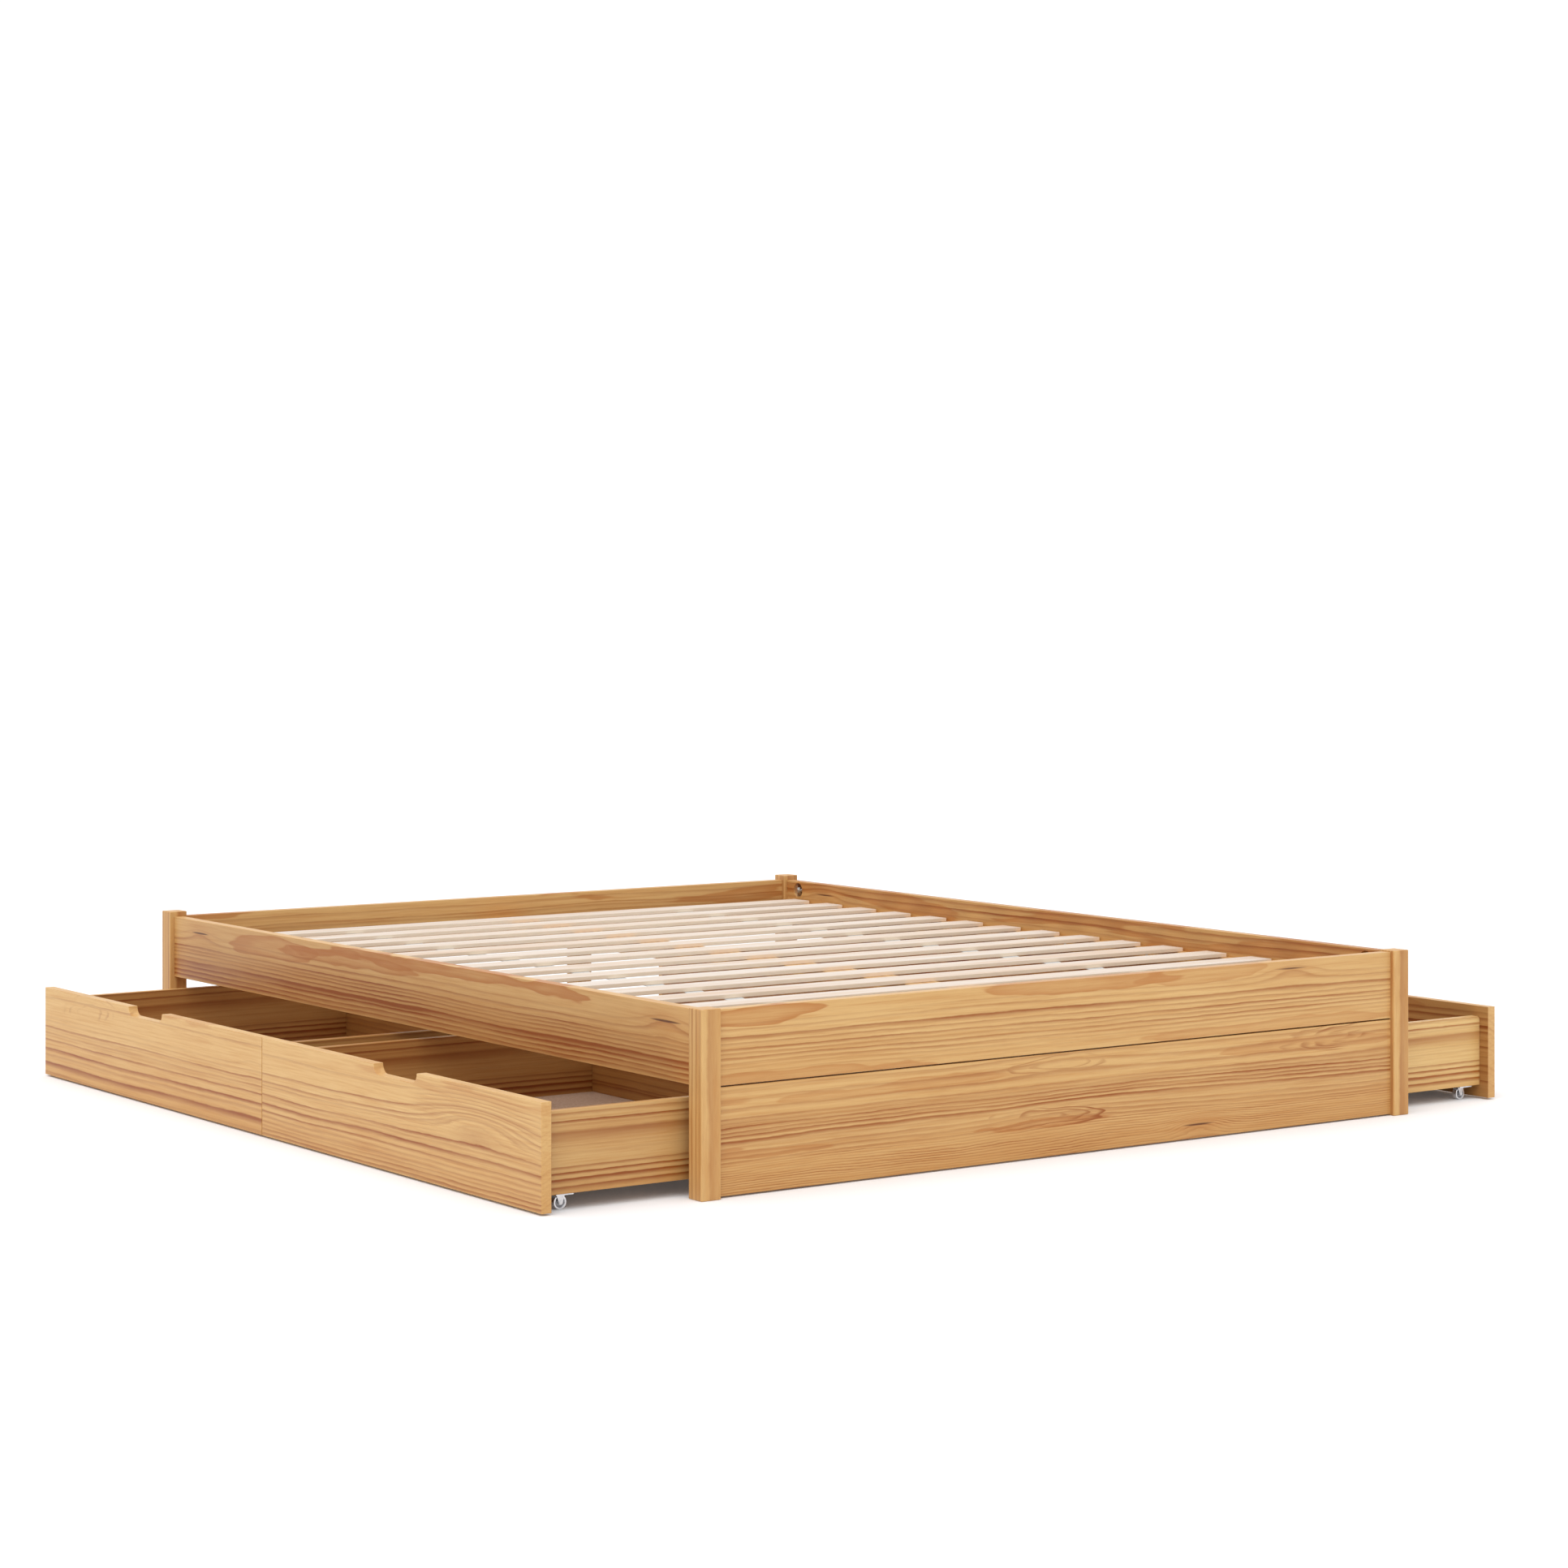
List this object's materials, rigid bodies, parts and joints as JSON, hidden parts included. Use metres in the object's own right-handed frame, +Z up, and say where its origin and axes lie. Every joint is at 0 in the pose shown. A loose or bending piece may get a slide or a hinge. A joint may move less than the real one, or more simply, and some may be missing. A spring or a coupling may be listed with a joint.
{
  "type": "platform bed with storage drawers",
  "caption": "Low solid pine platform bed with a slatted mattress deck and storage drawers that roll out from under both side rails on small fixed casters.",
  "frame": {"origin": "on the floor under the middle of the bed, with the drawers part way out on both sides", "axes": "+X across the bed, toward its right side as seen from the foot end; +Y along the bed toward the head end; +Z up"},
  "size_m": [2.26, 2.106, 0.332],
  "materials": {
    "pine": "satin lacquered knotty pine with a honey tone",
    "pine_plain": "satin lacquered pine, plain structural timber",
    "slat_wood": "bare sanded pale laminated slats",
    "webbing": "pale grey woven polyester tape",
    "board": "thin matt board of the drawer bottoms",
    "dowel_wood": "bare beech dowels",
    "steel": "pressed steel",
    "wheel_steel": "turned steel wheels",
    "zinc": "zinc plated fasteners"
  },
  "bodies": {
    "frame": {"post_foot_left": "pine", "post_foot_right": "pine", "post_head_left": "pine", "post_head_right": "pine", "foot_rail": "pine", "foot_panel": "pine", "head_rail": "pine", "side_rail_left": "pine", "side_rail_right": "pine", "ledger_left": "pine_plain", "ledger_right": "pine_plain", "centre_beam": "pine_plain", "beam_cleats": "pine_plain", "centre_leg_foot": "pine_plain", "centre_leg_head": "pine_plain", "slats": "slat_wood", "slat_tapes": "webbing", "slat_staples": "steel", "wood_screws": "zinc", "bed_bolts": "zinc", "crescent_washers": "steel", "bolt_nuts": "zinc", "end_dowels": "dowel_wood", "leg_bolts": "zinc"},
    "lf_drawer": {"lf_front": "pine", "lf_side_outer": "pine", "lf_side_inner": "pine", "lf_back": "pine", "lf_bottom": "board", "lf_dowels": "dowel_wood", "lf_caster_forks": "steel"},
    "lf_wheels_front": {"lf_wheels_front": "wheel_steel"},
    "lf_wheels_rear": {"lf_wheels_rear": "wheel_steel"},
    "lh_drawer": {"lh_front": "pine", "lh_side_outer": "pine", "lh_side_inner": "pine", "lh_back": "pine", "lh_bottom": "board", "lh_dowels": "dowel_wood", "lh_caster_forks": "steel"},
    "lh_wheels_front": {"lh_wheels_front": "wheel_steel"},
    "lh_wheels_rear": {"lh_wheels_rear": "wheel_steel"},
    "rf_drawer": {"rf_front": "pine", "rf_side_outer": "pine", "rf_side_inner": "pine", "rf_back": "pine", "rf_bottom": "board", "rf_dowels": "dowel_wood", "rf_caster_forks": "steel"},
    "rf_wheels_front": {"rf_wheels_front": "wheel_steel"},
    "rf_wheels_rear": {"rf_wheels_rear": "wheel_steel"},
    "rh_drawer": {"rh_front": "pine", "rh_side_outer": "pine", "rh_side_inner": "pine", "rh_back": "pine", "rh_bottom": "board", "rh_dowels": "dowel_wood", "rh_caster_forks": "steel"},
    "rh_wheels_front": {"rh_wheels_front": "wheel_steel"},
    "rh_wheels_rear": {"rh_wheels_rear": "wheel_steel"}
  },
  "joints": [
    {"name": "lf_drawer_slide", "type": "slide", "parent": "frame", "child": "lf_drawer", "axis": [-1, 0, 0], "range_m": [-0.3, 0.4]},
    {"name": "lf_wheels_front_spin", "type": "hinge", "parent": "lf_drawer", "child": "lf_wheels_front", "pos_m": [-1.07, -0.515, 0.012], "axis": [0, 1, 0], "continuous": true},
    {"name": "lf_wheels_rear_spin", "type": "hinge", "parent": "lf_drawer", "child": "lf_wheels_rear", "pos_m": [-0.46, -0.515, 0.012], "axis": [0, 1, 0], "continuous": true},
    {"name": "lh_drawer_slide", "type": "slide", "parent": "frame", "child": "lh_drawer", "axis": [-1, 0, 0], "range_m": [-0.3, 0.4]},
    {"name": "lh_wheels_front_spin", "type": "hinge", "parent": "lh_drawer", "child": "lh_wheels_front", "pos_m": [-1.07, 0.515, 0.012], "axis": [0, 1, 0], "continuous": true},
    {"name": "lh_wheels_rear_spin", "type": "hinge", "parent": "lh_drawer", "child": "lh_wheels_rear", "pos_m": [-0.46, 0.515, 0.012], "axis": [0, 1, 0], "continuous": true},
    {"name": "rf_drawer_slide", "type": "slide", "parent": "frame", "child": "rf_drawer", "axis": [1, 0, 0], "range_m": [-0.3, 0.4]},
    {"name": "rf_wheels_front_spin", "type": "hinge", "parent": "rf_drawer", "child": "rf_wheels_front", "pos_m": [1.07, -0.515, 0.012], "axis": [0, 1, 0], "continuous": true},
    {"name": "rf_wheels_rear_spin", "type": "hinge", "parent": "rf_drawer", "child": "rf_wheels_rear", "pos_m": [0.46, -0.515, 0.012], "axis": [0, 1, 0], "continuous": true},
    {"name": "rh_drawer_slide", "type": "slide", "parent": "frame", "child": "rh_drawer", "axis": [1, 0, 0], "range_m": [-0.3, 0.4]},
    {"name": "rh_wheels_front_spin", "type": "hinge", "parent": "rh_drawer", "child": "rh_wheels_front", "pos_m": [1.07, 0.515, 0.012], "axis": [0, 1, 0], "continuous": true},
    {"name": "rh_wheels_rear_spin", "type": "hinge", "parent": "rh_drawer", "child": "rh_wheels_rear", "pos_m": [0.46, 0.515, 0.012], "axis": [0, 1, 0], "continuous": true}
  ],
  "couplings": [
    {"joint": "lf_wheels_front_spin", "follows": "lf_drawer_slide", "rad_per_m": -83.333},
    {"joint": "lf_wheels_rear_spin", "follows": "lf_drawer_slide", "rad_per_m": -83.333},
    {"joint": "lh_wheels_front_spin", "follows": "lh_drawer_slide", "rad_per_m": -83.333},
    {"joint": "lh_wheels_rear_spin", "follows": "lh_drawer_slide", "rad_per_m": -83.333},
    {"joint": "rf_wheels_front_spin", "follows": "rf_drawer_slide", "rad_per_m": 83.333},
    {"joint": "rf_wheels_rear_spin", "follows": "rf_drawer_slide", "rad_per_m": 83.333},
    {"joint": "rh_wheels_front_spin", "follows": "rh_drawer_slide", "rad_per_m": 83.333},
    {"joint": "rh_wheels_rear_spin", "follows": "rh_drawer_slide", "rad_per_m": 83.333}
  ]
}
